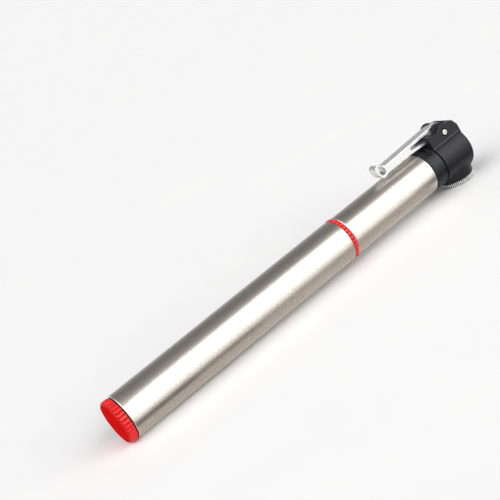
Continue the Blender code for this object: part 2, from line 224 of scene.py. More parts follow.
def arc(cx, cz, r, start, end, steps):
    return [(cx + r * math.cos(math.radians(start + (end - start) * i / steps)),
             cz + r * math.sin(math.radians(start + (end - start) * i / steps))) for i in range(steps + 1)]


def net(name, field, low, high, h, materials, sharp=50.0):
    """A closed quad mesh of a distance field: one point per crossed cell, pulled onto the surface."""
    low, high = np.array(low, float), np.array(high, float)
    n = np.ceil((high - low) / h).astype(int) + 1
    xs, ys, zs = (low[i] + h * np.arange(n[i]) for i in range(3))
    F = np.empty(tuple(n), np.float32)
    for i in range(0, n[0], 16):
        part = field(xs[i:i + 16, None, None], ys[None, :, None], zs[None, None, :])
        F[i:i + 16] = np.broadcast_to(part, (len(xs[i:i + 16]), n[1], n[2]))
    S = F < 0
    total = sum(S[i:n[0] - 1 + i, j:n[1] - 1 + j, k:n[2] - 1 + k].astype(np.int8) for i in (0, 1) for j in (0, 1) for k in (0, 1))
    active = (total > 0) & (total < 8)
    cells = np.argwhere(active)
    index = np.full(active.shape, -1, np.int64)
    index[active] = np.arange(len(cells))
    corner = {c: F[cells[:, 0] + c[0], cells[:, 1] + c[1], cells[:, 2] + c[2]] for c in np.ndindex(2, 2, 2)}
    acc, hits = np.zeros((len(cells), 3)), np.zeros(len(cells))
    for c in np.ndindex(2, 2, 2):
        for axis in range(3):
            if c[axis]:
                continue
            d = list(c)
            d[axis] = 1
            fa, fb = corner[c], corner[tuple(d)]
            cross = (fa < 0) != (fb < 0)
            t = np.where(cross, fa / np.where(cross, fa - fb, 1), 0)
            p = np.repeat(np.array([c], float), len(cells), 0)
            p[:, axis] += t
            acc += p * cross[:, None]
            hits += cross
    v = low + h * (cells + acc / hits[:, None])
    faces = []
    for axis in range(3):
        b, c = (axis + 1) % 3, (axis + 2) % 3
        lower, upper = [slice(None)] * 3, [slice(None)] * 3
        lower[axis], upper[axis] = slice(0, n[axis] - 1), slice(1, n[axis])
        cut = S[tuple(lower)] != S[tuple(upper)]
        at = np.argwhere(cut)
        at = at[(at[:, b] > 0) & (at[:, c] > 0) & (at[:, b] < n[b] - 1) & (at[:, c] < n[c] - 1)]
        quad = []
        for db, dc in ((-1, -1), (0, -1), (0, 0), (-1, 0)):
            q = at.copy()
            q[:, b] += db
            q[:, c] += dc
            quad.append(index[q[:, 0], q[:, 1], q[:, 2]])
        quad = np.stack(quad, 1)
        inner = S[at[:, 0], at[:, 1], at[:, 2]]
        quad[~inner] = quad[~inner][:, ::-1]
        faces.append(quad)
    faces = np.vstack(faces)
    e = 0.004
    for _ in range(4):
        x, y, z = v.T
        g = np.stack([field(x + e, y, z) - field(x - e, y, z), field(x, y + e, z) - field(x, y - e, z),
                      field(x, y, z + e) - field(x, y, z - e)], 1) / (2 * e)
        move = field(x, y, z)[:, None] * g / np.maximum((g * g).sum(1), 0.05)[:, None]
        length = np.linalg.norm(move, axis=1)
        move *= np.minimum(1, 0.5 * h / np.maximum(length, 1e-9))[:, None]
        v = v - move
    return to_object(name, v, faces.tolist(), materials, None, sharp)


# ---------------------------------------------------------------- finishes
class Finish:
    """A Principled material built from procedural nodes on the piece's own coordinates, in metres."""

    def __init__(self, name, color, metallic, roughness, coat=0.0, specular=0.5):
        self.material = bpy.data.materials.new(name)
        self.material.use_nodes = True
        self.tree = self.material.node_tree
        self.shader = self.tree.nodes["Principled BSDF"]
        self.shader.inputs["Base Color"].default_value = (*color, 1.0)
        self.shader.inputs["Metallic"].default_value = metallic
        self.shader.inputs["Roughness"].default_value = roughness
        self.shader.inputs["Coat Weight"].default_value = coat
        self.shader.inputs["Specular IOR Level"].default_value = specular
        self.material.diffuse_color = (*color, 1.0)
        self.color = color
        self.coords = self.tree.nodes.new("ShaderNodeTexCoord").outputs["Object"]

    def put(self, kind, **settings):
        node = self.tree.nodes.new(kind)
        for key, value in settings.items():
            setattr(node, key, value)
        return node

    def wire(self, out, into):
        self.tree.links.new(out, into)

    def noise(self, size, stretch=(1, 1, 1), detail=2.0, rough=0.55, seed=0.0):
        """Noise whose grain is about size millimetres, drawn out along an axis by stretch."""
        mapping = self.put("ShaderNodeMapping")
        mapping.inputs["Location"].default_value = (seed, seed * 0.7, seed * 1.3)
        mapping.inputs["Scale"].default_value = tuple(1000.0 / size / s for s in stretch)
        self.wire(self.coords, mapping.inputs["Vector"])
        node = self.put("ShaderNodeTexNoise")
        node.inputs["Scale"].default_value = 1.0
        node.inputs["Detail"].default_value = detail
        node.inputs["Roughness"].default_value = rough
        self.wire(mapping.outputs["Vector"], node.inputs["Vector"])
        return node.outputs["Fac"]

    def ranged(self, value, low, high, to_low, to_high):
        node = self.put("ShaderNodeMapRange")
        for key, number in zip(("From Min", "From Max", "To Min", "To Max"), (low, high, to_low, to_high)):
            node.inputs[key].default_value = number
        self.wire(value, node.inputs["Value"])
        return node.outputs["Result"]

    def blend(self, factor, a, b):
        """Colour a where factor is 0, b where it is 1. Each is a colour or a node's output."""
        node = self.put("ShaderNodeMix", data_type="RGBA")
        self.wire(factor, node.inputs[0])
        for slot, value in ((node.inputs[6], a), (node.inputs[7], b)):
            if isinstance(value, (tuple, list)):
                slot.default_value = (*value, 1.0)
            else:
                self.wire(value, slot)
        return node.outputs[2]

    def maths(self, operation, a, b):
        node = self.put("ShaderNodeMath", operation=operation)
        for slot, value in zip(node.inputs, (a, b)):
            if isinstance(value, (int, float)):
                slot.default_value = value
            else:
                self.wire(value, slot)
        return node.outputs[0]

    def radius(self, axis, at=(0.0, 0.0)):
        """Distance in metres from the axis through at."""
        split = self.put("ShaderNodeSeparateXYZ")
        self.wire(self.coords, split.inputs[0])
        across = [split.outputs[n] for n in "XYZ" if n != axis]
        squares = [self.maths("POWER", self.maths("SUBTRACT", out, middle * MM), 2.0) for out, middle in zip(across, at)]
        return self.maths("SQRT", self.maths("ADD", *squares), 0.0)

    def edges(self, low, high):
        """1 on sharp outer edges, 0 elsewhere, broken up by noise: rubbed wear on the nylon, painted highlights on the
        lever and on the red ribs.
        """
        geometry = self.put("ShaderNodeNewGeometry")
        return self.maths("MULTIPLY", self.ranged(geometry.outputs["Pointiness"], low, high, 0, 1),
                          self.ranged(self.noise(1.4, detail=3), 0.4, 0.62, 0.25, 1))

    def bump(self, *layers):
        """Layers of (height, depth in micrometres)."""
        last = None
        for height, depth in layers:
            node = self.put("ShaderNodeBump")
            node.inputs["Strength"].default_value = 1.0
            node.inputs["Distance"].default_value = depth * 1e-6
            self.wire(height, node.inputs["Height"])
            if last is not None:
                self.wire(last, node.inputs["Normal"])
            last = node.outputs["Normal"]
        self.wire(last, self.shader.inputs["Normal"])

    def set(self, name, value):
        self.wire(value, self.shader.inputs[name])


def scaled(color, k):
    return tuple(min(1.0, c * k) for c in color)


def satin_tube():
    """Bead-blasted, champagne-silver anodised aluminium."""
    f = Finish("satin_champagne_aluminium", (0.80, 0.745, 0.675), 1.0, 0.34)
    broad = f.noise(14.0, detail=2, seed=3)
    grain = f.noise(0.33, detail=2, rough=0.6)
    strokes = f.noise(0.20, stretch=(1, 3, 3), detail=1, rough=0.5, seed=5)          # fine turning marks run round the tube
    frost = f.noise(0.75, detail=1, rough=0.5, seed=9)
    color = f.blend(f.ranged(broad, 0.3, 0.7, 0, 1), scaled(f.color, 0.985), scaled(f.color, 1.015))
    color = f.blend(f.ranged(strokes, 0.48, 0.70, 0, 0.9), color, scaled(f.color, 0.66))
    color = f.blend(f.ranged(strokes, 0.46, 0.28, 0, 0.9), color, (1.0, 0.97, 0.92))
    f.set("Base Color", f.blend(f.ranged(grain, 0.53, 0.73, 0, 0.7), color, scaled(f.color, 0.58)))
    f.set("Roughness", f.ranged(strokes, 0.3, 0.7, 0.30, 0.43))
    f.bump((frost, 15), (grain, 14), (strokes, 8))
    return f.material


def cut_rim():
    """The bright turned chamfer at a tube's end."""
    f = Finish("bright_cut_aluminium", (0.96, 0.955, 0.94), 1.0, 0.38)
    lines = f.noise(0.09, stretch=(1, 40, 40), detail=2)
    f.set("Roughness", f.ranged(lines, 0.3, 0.7, 0.32, 0.44))
    f.set("Base Color", f.blend(f.ranged(f.noise(3.0), 0.35, 0.65, 0, 1), f.color, scaled(f.color, 0.93)))
    f.bump((lines, 3))
    return f.material


def drawn_barrel():
    """Drawn, clear anodised barrel: long draw lines and a film of grease."""
    f = Finish("drawn_aluminium", (0.78, 0.785, 0.80), 1.0, 0.2)
    lines = f.noise(0.22, stretch=(60, 1, 1), detail=3, rough=0.6)
    film = f.noise(9.0, stretch=(2.5, 1, 1), detail=3)
    f.set("Roughness", f.maths("ADD", f.ranged(lines, 0.3, 0.7, 0.14, 0.24), f.ranged(film, 0.35, 0.65, 0, 0.08)))
    f.set("Base Color", f.blend(f.ranged(film, 0.35, 0.65, 0, 1), f.color, scaled(f.color, 0.92)))
    f.bump((lines, 2.5))
    return f.material


def lever_alloy():
    """Tumbled, satin aluminium of the lever, with painted highlights along its outer edges."""
    f = Finish("satin_lever_aluminium", (0.765, 0.765, 0.77), 0.7, 0.33)
    brush = f.noise(0.25, stretch=(9, 1, 1), detail=3, rough=0.65)
    mottle = f.noise(2.4, detail=2, seed=2)
    f.set("Roughness", f.maths("ADD", f.ranged(brush, 0.3, 0.7, 0.22, 0.32), f.ranged(mottle, 0.35, 0.65, 0, 0.05)))
    color = f.blend(f.ranged(mottle, 0.35, 0.65, 0, 1), f.color, scaled(f.color, 0.96))
    # painted highlight: the lever's sharp outer edges are coloured near white
    f.set("Base Color", f.blend(f.edges(0.56, 0.63), color, (0.92, 0.92, 0.92)))
    f.bump((brush, 2.5), (mottle, 2.5))
    return f.material


def turned_alloy():
    """Nickel-bright turned aluminium of the knurled nut, with painted shade down in the knurl's grooves."""
    f = Finish("turned_nut_aluminium", (0.93, 0.92, 0.90), 0.55, 0.26)
    lines = f.noise(0.12, stretch=(30, 30, 1), detail=2)
    f.set("Roughness", f.ranged(lines, 0.3, 0.7, 0.18, 0.34))
    radius = f.radius("Z", (VALVE_X, 0.0))
    # painted shade: the knurl's grooves, between radii 8.38 and 8.72 mm, are coloured near-black
    painted_knurl_shade = f.maths("MULTIPLY", f.ranged(radius, 8.30 * MM, 8.38 * MM, 0, 1), f.ranged(radius, 8.72 * MM, 8.86 * MM, 1, 0))
    f.set("Base Color", f.blend(painted_knurl_shade, f.blend(f.ranged(f.noise(2.2), 0.35, 0.65, 0, 1), f.color, scaled(f.color, 0.95)), (0.09, 0.086, 0.080)))
    f.bump((lines, 3))
    return f.material


def pin_steel():
    f = Finish("nickel_plated_pin", (0.73, 0.71, 0.65), 1.0, 0.34)
    spots = f.noise(0.35, detail=3)
    f.set("Roughness", f.ranged(spots, 0.3, 0.7, 0.18, 0.36))
    f.set("Base Color", f.blend(f.ranged(spots, 0.42, 0.68, 0, 1), f.color, (0.62, 0.56, 0.44)))
    f.bump((spots, 6))
    return f.material


def plain_steel():
    f = Finish("zinc_plated_steel", (0.66, 0.65, 0.62), 1.0, 0.28)
    lines = f.noise(0.14, stretch=(1, 25, 25), detail=2)
    f.set("Roughness", f.ranged(lines, 0.3, 0.7, 0.2, 0.36))
    f.set("Base Color", f.blend(f.ranged(f.noise(2.0), 0.35, 0.65, 0, 1), f.color, (0.62, 0.58, 0.48)))
    f.bump((lines, 4))
    return f.material


def brass():
    f = Finish("turned_brass", (0.78, 0.57, 0.27), 1.0, 0.27)
    lines = f.noise(0.1, stretch=(30, 30, 1), detail=2)
    f.set("Roughness", f.ranged(lines, 0.3, 0.7, 0.2, 0.36))
    f.set("Base Color", f.blend(f.ranged(f.noise(1.2), 0.35, 0.65, 0, 1), f.color, (0.60, 0.42, 0.2)))
    f.bump((lines, 3))
    return f.material


def black_nylon(name="black_moulded_nylon", witness=None):
    """Glass-filled nylon off a finely sparked mould: satin, paler on its rubbed outer edges. Where witness, its (Y, Z)
    on either side, is given, a painted highlight runs lengthwise along the witness line there."""
    f = Finish(name, (0.0060, 0.0064, 0.0094), 0.0, 0.38, specular=0.30)
    spark = f.noise(0.24, detail=3, rough=0.7)
    flow = f.noise(5.0, stretch=(1.8, 1, 1), detail=3, seed=4)
    color = f.blend(f.ranged(flow, 0.35, 0.65, 0, 1), f.color, (0.0085, 0.009, 0.0120))
    color = f.blend(f.ranged(spark, 0.45, 0.72, 0, 0.6), color, (0.016, 0.0165, 0.020))
    color = f.blend(f.edges(0.535, 0.61), color, (0.055, 0.055, 0.06))
    if witness:
        split = f.put("ShaderNodeSeparateXYZ")
        f.wire(f.coords, split.inputs[0])
        across = f.maths("SUBTRACT", f.maths("ABSOLUTE", split.outputs["Y"], 0.0), witness[0] * MM)
        above = f.maths("SUBTRACT", split.outputs["Z"], witness[1] * MM)
        away = f.maths("SQRT", f.maths("ADD", f.maths("POWER", across, 2.0), f.maths("POWER", above, 2.0)), 0.0)
        # painted highlight: a pale strip within about 0.3 mm of the crease where the flat meets the barrel
        line = f.maths("MULTIPLY", f.ranged(away, 0.26 * MM, 0.36 * MM, 1, 0), f.ranged(split.outputs["X"], 222.2 * MM, 222.6 * MM, 1, 0))
        color = f.blend(f.maths("MULTIPLY", line, 0.8), color, (0.085, 0.086, 0.094))
    f.set("Base Color", color)
    f.set("Roughness", f.maths("ADD", f.ranged(spark, 0.3, 0.7, 0.34, 0.48), f.ranged(flow, 0.35, 0.65, -0.03, 0.03)))
    f.bump((spark, 14))
    return f.material


def red_plastic(name, rib_r, specular, gloss, depth=1.0):
    """Moulded red plastic with a soft sheen. Painted shade darkens it down in the grooves between ribs that stand at
    radius rib_r, and painted highlights pale the sharp rib edges near the outer radius. depth below 1 darkens the whole
    colour, as painted shade.
    """
    f = Finish(name, scaled((0.78, 0.0085, 0.0085), depth), 0.0, 0.32, specular=specular)
    spark = f.noise(0.35, detail=3, rough=0.65)
    flow = f.noise(4.0, detail=2, seed=6)
    color = f.blend(f.ranged(flow, 0.35, 0.65, 0, 1), f.color, scaled((0.69, 0.009, 0.009), depth))
    color = f.blend(f.ranged(spark, 0.45, 0.75, 0, 0.5), color, scaled((0.84, 0.018, 0.017), depth))
    radius = f.radius("X")
    # painted highlight: sharp rib edges near the outer radius are coloured pale red
    color = f.blend(f.maths("MULTIPLY", f.edges(0.53, 0.62), f.ranged(radius, 9.4 * MM, 9.7 * MM, 0, 1)), color, (0.88, 0.10, 0.10))
    # painted shade: the grooves between the ribs are coloured dark red
    groove = f.maths("MULTIPLY", f.ranged(radius, (rib_r - 0.80) * MM, (rib_r - 0.70) * MM, 0, 1), f.ranged(radius, (rib_r - 0.50) * MM, (rib_r - 0.16) * MM, 1, 0))
    f.set("Base Color", f.blend(f.maths("MULTIPLY", groove, 0.85), color, (0.30, 0.003, 0.006)))
    f.set("Roughness", f.ranged(spark, 0.3, 0.7, gloss, gloss + 0.12))
    f.bump((spark, 9))
    return f.material


def acetal():
    f = Finish("natural_acetal", (0.82, 0.81, 0.76), 0.0, 0.4)
    lines = f.noise(0.16, stretch=(1, 20, 20), detail=2)
    f.set("Base Color", f.blend(f.ranged(f.noise(3.0), 0.35, 0.65, 0, 1), f.color, (0.76, 0.74, 0.66)))
    f.set("Roughness", f.ranged(lines, 0.3, 0.7, 0.33, 0.48))
    f.bump((lines, 5))
    return f.material


def rubber():
    f = Finish("black_nitrile_rubber", (0.018, 0.018, 0.019), 0.0, 0.66)
    skin = f.noise(0.3, detail=4, rough=0.7)
    f.set("Base Color", f.blend(f.ranged(skin, 0.4, 0.7, 0, 1), f.color, (0.035, 0.035, 0.036)))
    f.set("Roughness", f.ranged(skin, 0.3, 0.7, 0.55, 0.8))
    f.bump((skin, 12))
    return f.material


SATIN, RIM, DRAWN, LEVER_ALLOY, NUT_ALLOY, PIN_STEEL = satin_tube(), cut_rim(), drawn_barrel(), lever_alloy(), turned_alloy(), pin_steel()
STEEL, BRASS, NYLON, ACETAL, RUBBER = plain_steel(), brass(), black_nylon(), acetal(), rubber()


def dress(piece, body, slot, *nodes):
    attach(piece, body)
    if nodes:
        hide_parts(*nodes)
    return piece


def smooth(x):
    x = np.clip(x, 0, 1)
    return x * x * (3 - 2 * x)


# ---------------------------------------------------------------- handle end
def flutes(depth, fade):
    """Wide, slightly crowned ribs with narrow square grooves between them."""
    def change(a, r, t):
        u = np.abs(np.mod(t * FLUTES / TAU, 1.0) - 0.5)
        groove = depth * (1 - smooth((u - 0.07) / 0.11)) + 0.10 * (1 - smooth((u - 0.18) / 0.26))
        return r - groove * fade(a, r)
    return change


def thread(r0, depth, pitch, start, end, hand=1):
    """A right-hand helical thread cut into a surface that stands at radius r0 between start and end."""
    def change(a, r, t):
        phase = np.mod(a / pitch - hand * t / TAU, 1.0)
        wave = smooth(np.abs(phase * 2 - 1) * 1.6 - 0.3)
        ends = smooth((a - start) / (0.8 * pitch)) * smooth((end - a) / (0.5 * pitch))
        return r - np.where(r > r0 - 0.35, depth * wave * ends, 0.0)
    return change


CAP_FACE = 4.0                                     # the rim's back face, close up against the seal
cap_flutes = flutes(0.55, lambda a, r: smooth((r - 9.85) / 0.55))
cap_thread = thread(CAP_SPIGOT_R, 0.42, 1.5, CAP_FLANGE + 0.9, CAP_SPIGOT_END)
dress(revolved("fluted_end_cap", [(0, 0), (0.0, 3.0), (0.0, 8.0), (0, 9.95, 0.35), (0.75, CAP_R, 0.45), (CAP_FACE, CAP_R, 0.2), (CAP_FACE, 8.2, 0.1), (CAP_FLANGE, 8.1), (CAP_FLANGE, CAP_SPIGOT_R, 0.15),
                                  (CAP_SPIGOT_END, CAP_SPIGOT_R, 0.45), (CAP_SPIGOT_END, 6.3, 0.25), (5.0, 6.3, 0.4), (5.0, 0.0)],
               # painted shade: the cap's end face takes the same red plastic darkened to 0.80 and without sheen
               [red_plastic("red_plastic_of_cap_rim", CAP_R, 0.30, 0.22), red_plastic("painted_shade_red_plastic_of_cap_face", CAP_R, 0.0, 0.30, 0.80)], segs=FLUTES * 18, step=0.3, steps=6, sharp=60,
               choose=lambda a, rr: 1 if a < 0.3 and rr < 9.9 else 0,
               change=lambda a, r, t: np.where(a < CAP_FACE + 0.01, cap_flutes(a, r, t), cap_thread(a, r, t))), "cap", "red_plastic", "end_cap")

dress(revolved("cap_seal_ring", [(4.06, SEAL[2], 0.1), (4.06, 10.05, 0.15), (SEAL[1], 10.05, 0.15), (SEAL[1], SEAL[2], 0.1)], [RUBBER], segs=128),
      "cap_carrier", "black_rubber", "cap_seal")


def tube(name, x0, x1, r, bore, bright):
    """A tube with turned chamfers at both ends, inside and out."""
    c = 0.32
    return revolved(name, [(x0, bore + 0.15, 0.03), (x0, r - c, 0.04), (x0 + c, r, 0.08), (x1 - c, r, 0.08), (x1, r - c, 0.04), (x1, bore + 0.15, 0.03),
                           (x1 - 0.2, bore, 0.05), (x0 + 0.2, bore, 0.05)], bright, segs=192, step=6.0, steps=3, sharp=28,
                    choose=lambda a, rr: 1 if (a < x0 + c - 0.01 or a > x1 - c + 0.01) else (0 if rr > (r + bore) / 2 else 2))


dress(tube("blasted_handle_tube", *HANDLE, [SATIN, RIM, DRAWN]), "handle", "satin_tube", "handle_tube")
dress(tube("blasted_grip_sleeve", *SLEEVE, [SATIN, RIM, DRAWN]), "root", "satin_tube", "grip_sleeve")

g0, g1, g2, gr, gs, gb = GUIDE
dress(revolved("fluted_guide_ring", [(g0, gb + 0.15, 0.05), (g0, gs, 0.25), (g1, gs, 0.05), (g1, gr, 0.22), (g2, gr, 0.35), (g2, gb + 0.1, 0.2), (g0 + 0.3, gb + 0.0, 0.1)],
               [red_plastic("red_plastic_of_ring", GUIDE[3], 0.42, 0.22)], segs=FLUTES * 18, step=0.35, steps=5, sharp=60,
               change=flutes(0.6, lambda a, r: smooth((r - 10.1) / 0.5))), "handle", "red_plastic", "guide_ring")

# ---------------------------------------------------------------- barrel
dress(revolved("drawn_barrel_tube", [(BARREL[0], BARREL[3], 0.1), (BARREL[0], BARREL[2], 0.25), (BARREL[1], BARREL[2], 0.25), (BARREL[1], BARREL[3], 0.1)],
               [DRAWN], segs=160, step=8.0), "root", "plain_tube", "barrel_tube")


# ---------------------------------------------------------------- collar
def collar_field(x, y, z):
    r = np.hypot(y, z)
    d = meet(r - COLLAR[2], x - COLLAR[1], 0.3)
    d = meet(d, COLLAR[0] - x, 0.3)
    d = meet(d, COLLAR[3] - r, 0.15)
    recess = meet(meet(np.abs(x - (RECESS[0] + RECESS[1]) / 2) - (RECESS[1] - RECESS[0]) / 2, RECESS[2] - r, 0.1), RECESS[3] - z, 0.2)
    d = meet(d, -recess, 0.12)                     # the shallow recess under the folded lever
    return d


dress(net("moulded_collar", collar_field, (196.2, -11.5, -11.5), (204.3, 11.5, 11.5), 0.22, [NYLON]), "root", "black_nylon", "head_collar")

# ---------------------------------------------------------------- head
CHEEK = [(HEAD_X0, 3.0), (HEAD_X0, 15.7), (HEAD_X0 + 0.3, 15.85), (209.0, 14.85), (210.3, 14.9), (211.2, 15.4), (211.9, 16.0), (212.7, 16.75), (213.5, 17.12),
         (214.5, 17.22), (215.5, 17.08), (216.5, 16.7), (220.0, 15.8), (221.5, 15.55), (222.2, 15.0), (223.75, 12.2), (223.85, 11.6), (223.85, 3.0)]
LOBE = [(209.3, 11.0), (209.35, 14.5), (209.65, 15.7), (210.15, 16.85), (210.95, 17.65), (212.2, 18.2), (213.5, 18.35), (214.4, 18.25), (215.4, 17.9), (216.6, 17.3), (218.2, 16.4),
        (218.2, 11.0)]
CREASE_Z = math.sqrt(HEAD_R ** 2 - BLOCK_HALF ** 2)
SLOT = [(200.0, 10.4), (209.2, 10.4), (209.2, 6.7), (220.95, 6.7), (220.95, 40.0), (200.0, 40.0)]


def head_field(x, y, z):
    r = np.hypot(y, z)
    body = meet(meet(r - HEAD_R, x - HEAD_X1, 1.1), HEAD_X0 - x, 0.3)
    boss_r = np.hypot(x - VALVE_X, y)
    boss = np.maximum(meet(boss_r - BOSS_R, BOSS_Z - z, 0.4), z - 3.0)
    d = join(body, boss, 1.0)
    cheek = (np.abs(y) - BLOCK_HALF + 0.11 * np.maximum(z - CREASE_Z, 0)) / 1.006      # the flats lean in towards the top
    d = join(d, meet(polygon(CHEEK, x, z), cheek, 0.28), 0.12)
    d = join(d, meet(polygon(LOBE, x, z), np.abs(y) - LOBE_HALF, 0.25), 0.2)
    bead = np.hypot(np.abs(y) - BLOCK_HALF - 0.02, z - CREASE_Z - 0.02) - 0.28          # the witness line where flat meets barrel
    d = np.minimum(d, meet(meet(bead, x - 222.4, 0.1), HEAD_X0 + 0.25 - x, 0.1))
    spigot = meet(meet(r - SPIGOT_R, SPIGOT_X0 - x, 0.3), x - 206.0, 0.1)
    groove = np.maximum(np.abs(x - 201.3) - 1.1, 6.75 - r)
    d = np.minimum(d, np.maximum(spigot, -groove))
    d = meet(d, -np.maximum(polygon(SLOT, x, z), np.abs(y) - SLOT_HALF), 0.25)
    bore = np.minimum(np.maximum(boss_r - BORE_R, z - BORE_TOP), np.maximum(boss_r - GASKET_BORE_R, z - SHOULDER_Z))
    bore = np.minimum(bore, np.maximum(boss_r - NUT_BORE_R, z - GASKET_BORE_Z))
    d = meet(d, -bore, 0.2)
    air = np.minimum(np.maximum(r - 4.3, x - 200.3), np.maximum(r - 2.6, x - 207.4))
    air = np.minimum(air, np.maximum(np.hypot(y, z - 1.2) - 0.9, np.abs(x - 208.5) - 2.6))
    d = np.maximum(d, -air)
    pin = np.hypot(x - PIN_X, z - PIN_Z)
    hole = np.minimum(pin - PIN_HOLE_R, meet(pin - 1.95, 6.3 - np.abs(y), 0.08))
    return meet(d, -hole, 0.15)


dress(net("moulded_head", head_field, (197.2, -12.2, -13.2), (224.5, 12.2, 18.9), 0.25, [black_nylon("black_head_nylon", (BLOCK_HALF + 0.02, CREASE_Z + 0.02))]), "root", "black_nylon", "head_body")


# ---------------------------------------------------------------- thumb lever
def cam_r(angle):
    if angle >= 270:
        return CAM_R0 + CAM_LIFT * (angle - 270) / 90
    return min(4.9, CAM_R0 / max(0.3, -math.sin(math.radians(angle))))


OUTLINE = [(PIN_X + cam_r(a) * math.cos(math.radians(a)), PIN_Z + cam_r(a) * math.sin(math.radians(a))) for a in range(196, 361, 4)]
OUTLINE += [(PIN_X + (5.4 - 0.65 * i / 18) * math.cos(math.radians(5 * i)), PIN_Z + (5.4 - 0.65 * i / 18) * math.sin(math.radians(5 * i)))
            for i in range(0, 19)]
OUTLINE += [(213.6, 17.58), (212.3, 17.78), (211.0, 17.9), (209.6, 17.91), (178.75, 16.75)]


def curve(points, steps=5):
    """A smooth line through the points: Catmull-Rom, open at both ends."""
    p = np.array([points[0]] + list(points) + [points[-1]], float)
    out = []
    for i in range(1, len(p) - 2):
        for k in range(steps):
            t = k / steps
            out.append(tuple(0.5 * ((2 * p[i]) + (p[i + 1] - p[i - 1]) * t + (2 * p[i - 1] - 5 * p[i] + 4 * p[i + 1] - p[i + 2]) * t * t
                                    + (3 * p[i] - p[i - 1] - 3 * p[i + 1] + p[i + 2]) * t ** 3)))
    return out + [tuple(p[-1])]


# the drop-shaped thumb loop, its eye, and the slot that splits the arm in two
OUTLINE += curve([(178.0, 16.85), (177.0, 17.35), (175.9, 17.95), (174.4, 18.85), (173.3, 19.1), (172.3, 18.8), (171.65, 17.9), (171.5, 16.7), (171.9, 15.0), (172.8, 13.3),
                  (174.0, 12.1), (175.3, 11.7), (176.6, 12.1), (177.9, 12.65)]) + [(193.8, 12.7), (204.5, 12.05)]
EYE = curve([(173.2, 18.05), (174.3, 17.95), (175.7, 16.85), (176.7, 15.3), (176.65, 14.1), (175.9, 13.45), (174.9, 13.35), (174.1, 14.1), (173.2, 15.8), (172.95, 17.3),
             (173.2, 18.05)])[:-1]
LEVER_SLOT = arc(196.0, 14.95, 0.85, 90, 265, 12) + [(200.4, 13.75), (205.0, 12.95), (208.4, 12.65), (209.3, 13.1), (210.2, 15.1), (210.2, 15.7), (209.8, 16.0)]


def lever_field(x, y, z):
    side = np.abs(y) - LEVER_HALF
    d = meet(polygon(OUTLINE, x, z), side, 0.24)
    d = meet(d, -polygon(LEVER_SLOT, x, z), 0.2)
    d = meet(d, -(polygon(EYE, x, z) - 0.26), 0.22)
    return meet(d, PIN_HOLE_R - np.hypot(x - PIN_X, z - PIN_Z), 0.15)


dress(net("cast_thumb_lever", lever_field, (171.0, -3.2, 6.6), (220.9, 3.2, 19.7), 0.17, [LEVER_ALLOY]), "lever", "bright_alloy", "thumb_lever")

dress(revolved("lever_pivot_pin", [(-6.7, 0), (-6.74, 0.2, 0.05), (-7.05, 0.5, 0.06), (-7.05, PIN_R, 0.28), (7.05, PIN_R, 0.28), (7.05, 0.5, 0.06), (6.74, 0.2, 0.05), (6.7, 0)],
               [PIN_STEEL], axis="Y", at=(PIN_X, PIN_Z), segs=64), "root", "steel", "lever_pin")

# ---------------------------------------------------------------- valve chuck
def knurl(a, r, t):
    u = np.abs(np.mod(t * KNURLS / TAU, 1.0) * 2 - 1)
    return r - np.where(r > NUT_R - 0.5, 0.46 * smooth((u - 0.42) / 0.35) * smooth((r - (NUT_R - 0.5)) / 0.35), 0.0)


nut_thread = thread(7.5, 0.3, 1.0, -12.6, -8.6)
dress(revolved("knurled_valve_nut", [(-8.6, 6.7, 0.1), (-8.6, 7.5, 0.3), (-12.9, 7.5, 0.08), (-12.9, NUT_R, 0.2), (NUT_FACE_Z, NUT_R, 0.35), (NUT_FACE_Z, NUT_HOLE_R, 0.5),
                                     (-10.9, NUT_HOLE_R, 0.1), (-10.9, 6.7, 0.1)],
               [NUT_ALLOY], axis="Z", at=(VALVE_X, 0.0), segs=KNURLS * 8, step=0.22, sharp=60,
               change=lambda a, r, t: np.where(r > 8.0, knurl(a, r, t), np.where(r > 7.0, nut_thread(a, r, t), r))), "nut", "bright_alloy", "valve_nut")

gasket = revolved("lipped_valve_gasket", [(-3.3, 3.8, 0.35), (-3.3, 6.4, 0.3), (-6.6, 6.4), (-6.8, 6.25), (-7.2, 6.25), (-7.4, 6.4), (-10.6, 6.4, 0.3), (-10.6, 3.8, 0.45), (-8.9, 3.8), (-8.7, 4.0), (-8.1, 4.0), (-7.9, 3.8),
                                          (-6.1, 3.8), (-5.9, 4.0), (-5.3, 4.0), (-5.1, 3.8)],
                  [RUBBER], axis="Z", at=(VALVE_X, 0.0), segs=96, step=0.5)
dress(gasket, "gasket", "black_rubber", "valve_gasket")
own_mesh(gasket)

# ---------------------------------------------------------------- pieces that keep their own shape
for node, finish in {"handle_plug": NYLON, "barrel_gland": NYLON, "rod_anchor_screw": STEEL, "piston_rod": STEEL, "piston_screw": STEEL, "check_ball": STEEL,
                     "check_spring": STEEL, "end_bumper": RUBBER, "piston_o_ring": RUBBER, "barrel_o_ring": RUBBER, "plunger_o_ring": RUBBER,
                     "piston": ACETAL, "clamp_plunger": ACETAL, "check_seat": BRASS, "valve_depressor": BRASS}.items():
    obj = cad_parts[node]
    obj.data.materials.clear()
    obj.data.materials.append(finish)

# ---------------------------------------------------------------- stage, light and camera
def floor_z(x):
    """The pump rests on its tube's end and on the nut. Past the cap the floor falls away, to clear the handle when it is out."""
    return -0.01102 - 4.2 / 201.0 * (x - 0.0046) if x > -0.002 else floor_z(-0.0019) + 0.028 * (x + 0.002)


